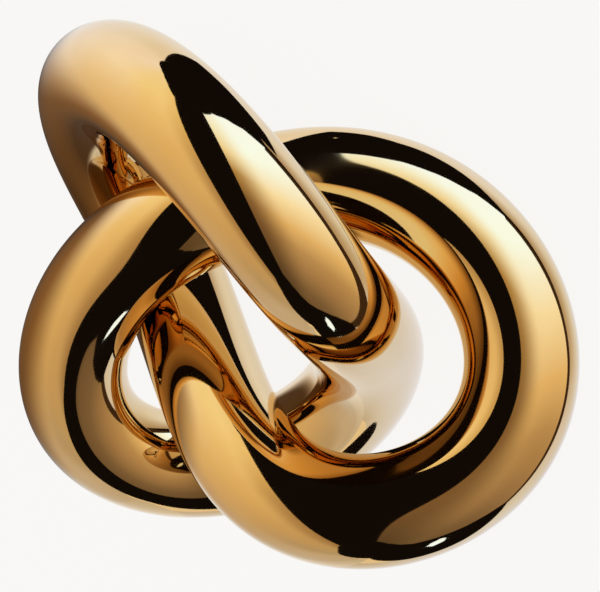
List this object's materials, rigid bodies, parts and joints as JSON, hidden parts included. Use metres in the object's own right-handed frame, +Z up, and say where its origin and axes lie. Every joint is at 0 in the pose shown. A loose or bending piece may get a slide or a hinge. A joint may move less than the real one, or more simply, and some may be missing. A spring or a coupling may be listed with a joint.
{
  "type": "tube knot sculpture",
  "caption": "Free-standing ornament: a round, mirror-polished, gold-coloured metal tube closed into a trefoil knot, lying on low pads under its lobes.",
  "frame": {"origin": "centre of the part's outline seen from above, on the surface that it rests on", "axes": "+Z up, away from the surface; the three lobes lie round the Z axis"},
  "size_m": [0.2016, 0.2304, 0.1132],
  "materials": {
    "polished_tube": "mirror polished and lacquered",
    "inner_sleeve": "as drawn",
    "pad": "matte"
  },
  "bodies": {
    "root": {"tube_section_01": "polished_tube", "tube_section_02": "polished_tube", "tube_section_03": "polished_tube", "tube_section_04": "polished_tube", "tube_section_05": "polished_tube", "tube_section_06": "polished_tube", "tube_section_07": "polished_tube", "tube_section_08": "polished_tube", "tube_section_09": "polished_tube", "tube_section_10": "polished_tube", "tube_section_11": "polished_tube", "tube_section_12": "polished_tube", "joint_sleeve_01": "inner_sleeve", "joint_sleeve_02": "inner_sleeve", "joint_sleeve_03": "inner_sleeve", "joint_sleeve_04": "inner_sleeve", "joint_sleeve_05": "inner_sleeve", "joint_sleeve_06": "inner_sleeve", "joint_sleeve_07": "inner_sleeve", "joint_sleeve_08": "inner_sleeve", "joint_sleeve_09": "inner_sleeve", "joint_sleeve_10": "inner_sleeve", "joint_sleeve_11": "inner_sleeve", "joint_sleeve_12": "inner_sleeve", "rest_pad_1": "pad", "rest_pad_2": "pad", "rest_pad_3": "pad"}
  },
  "joints": []
}
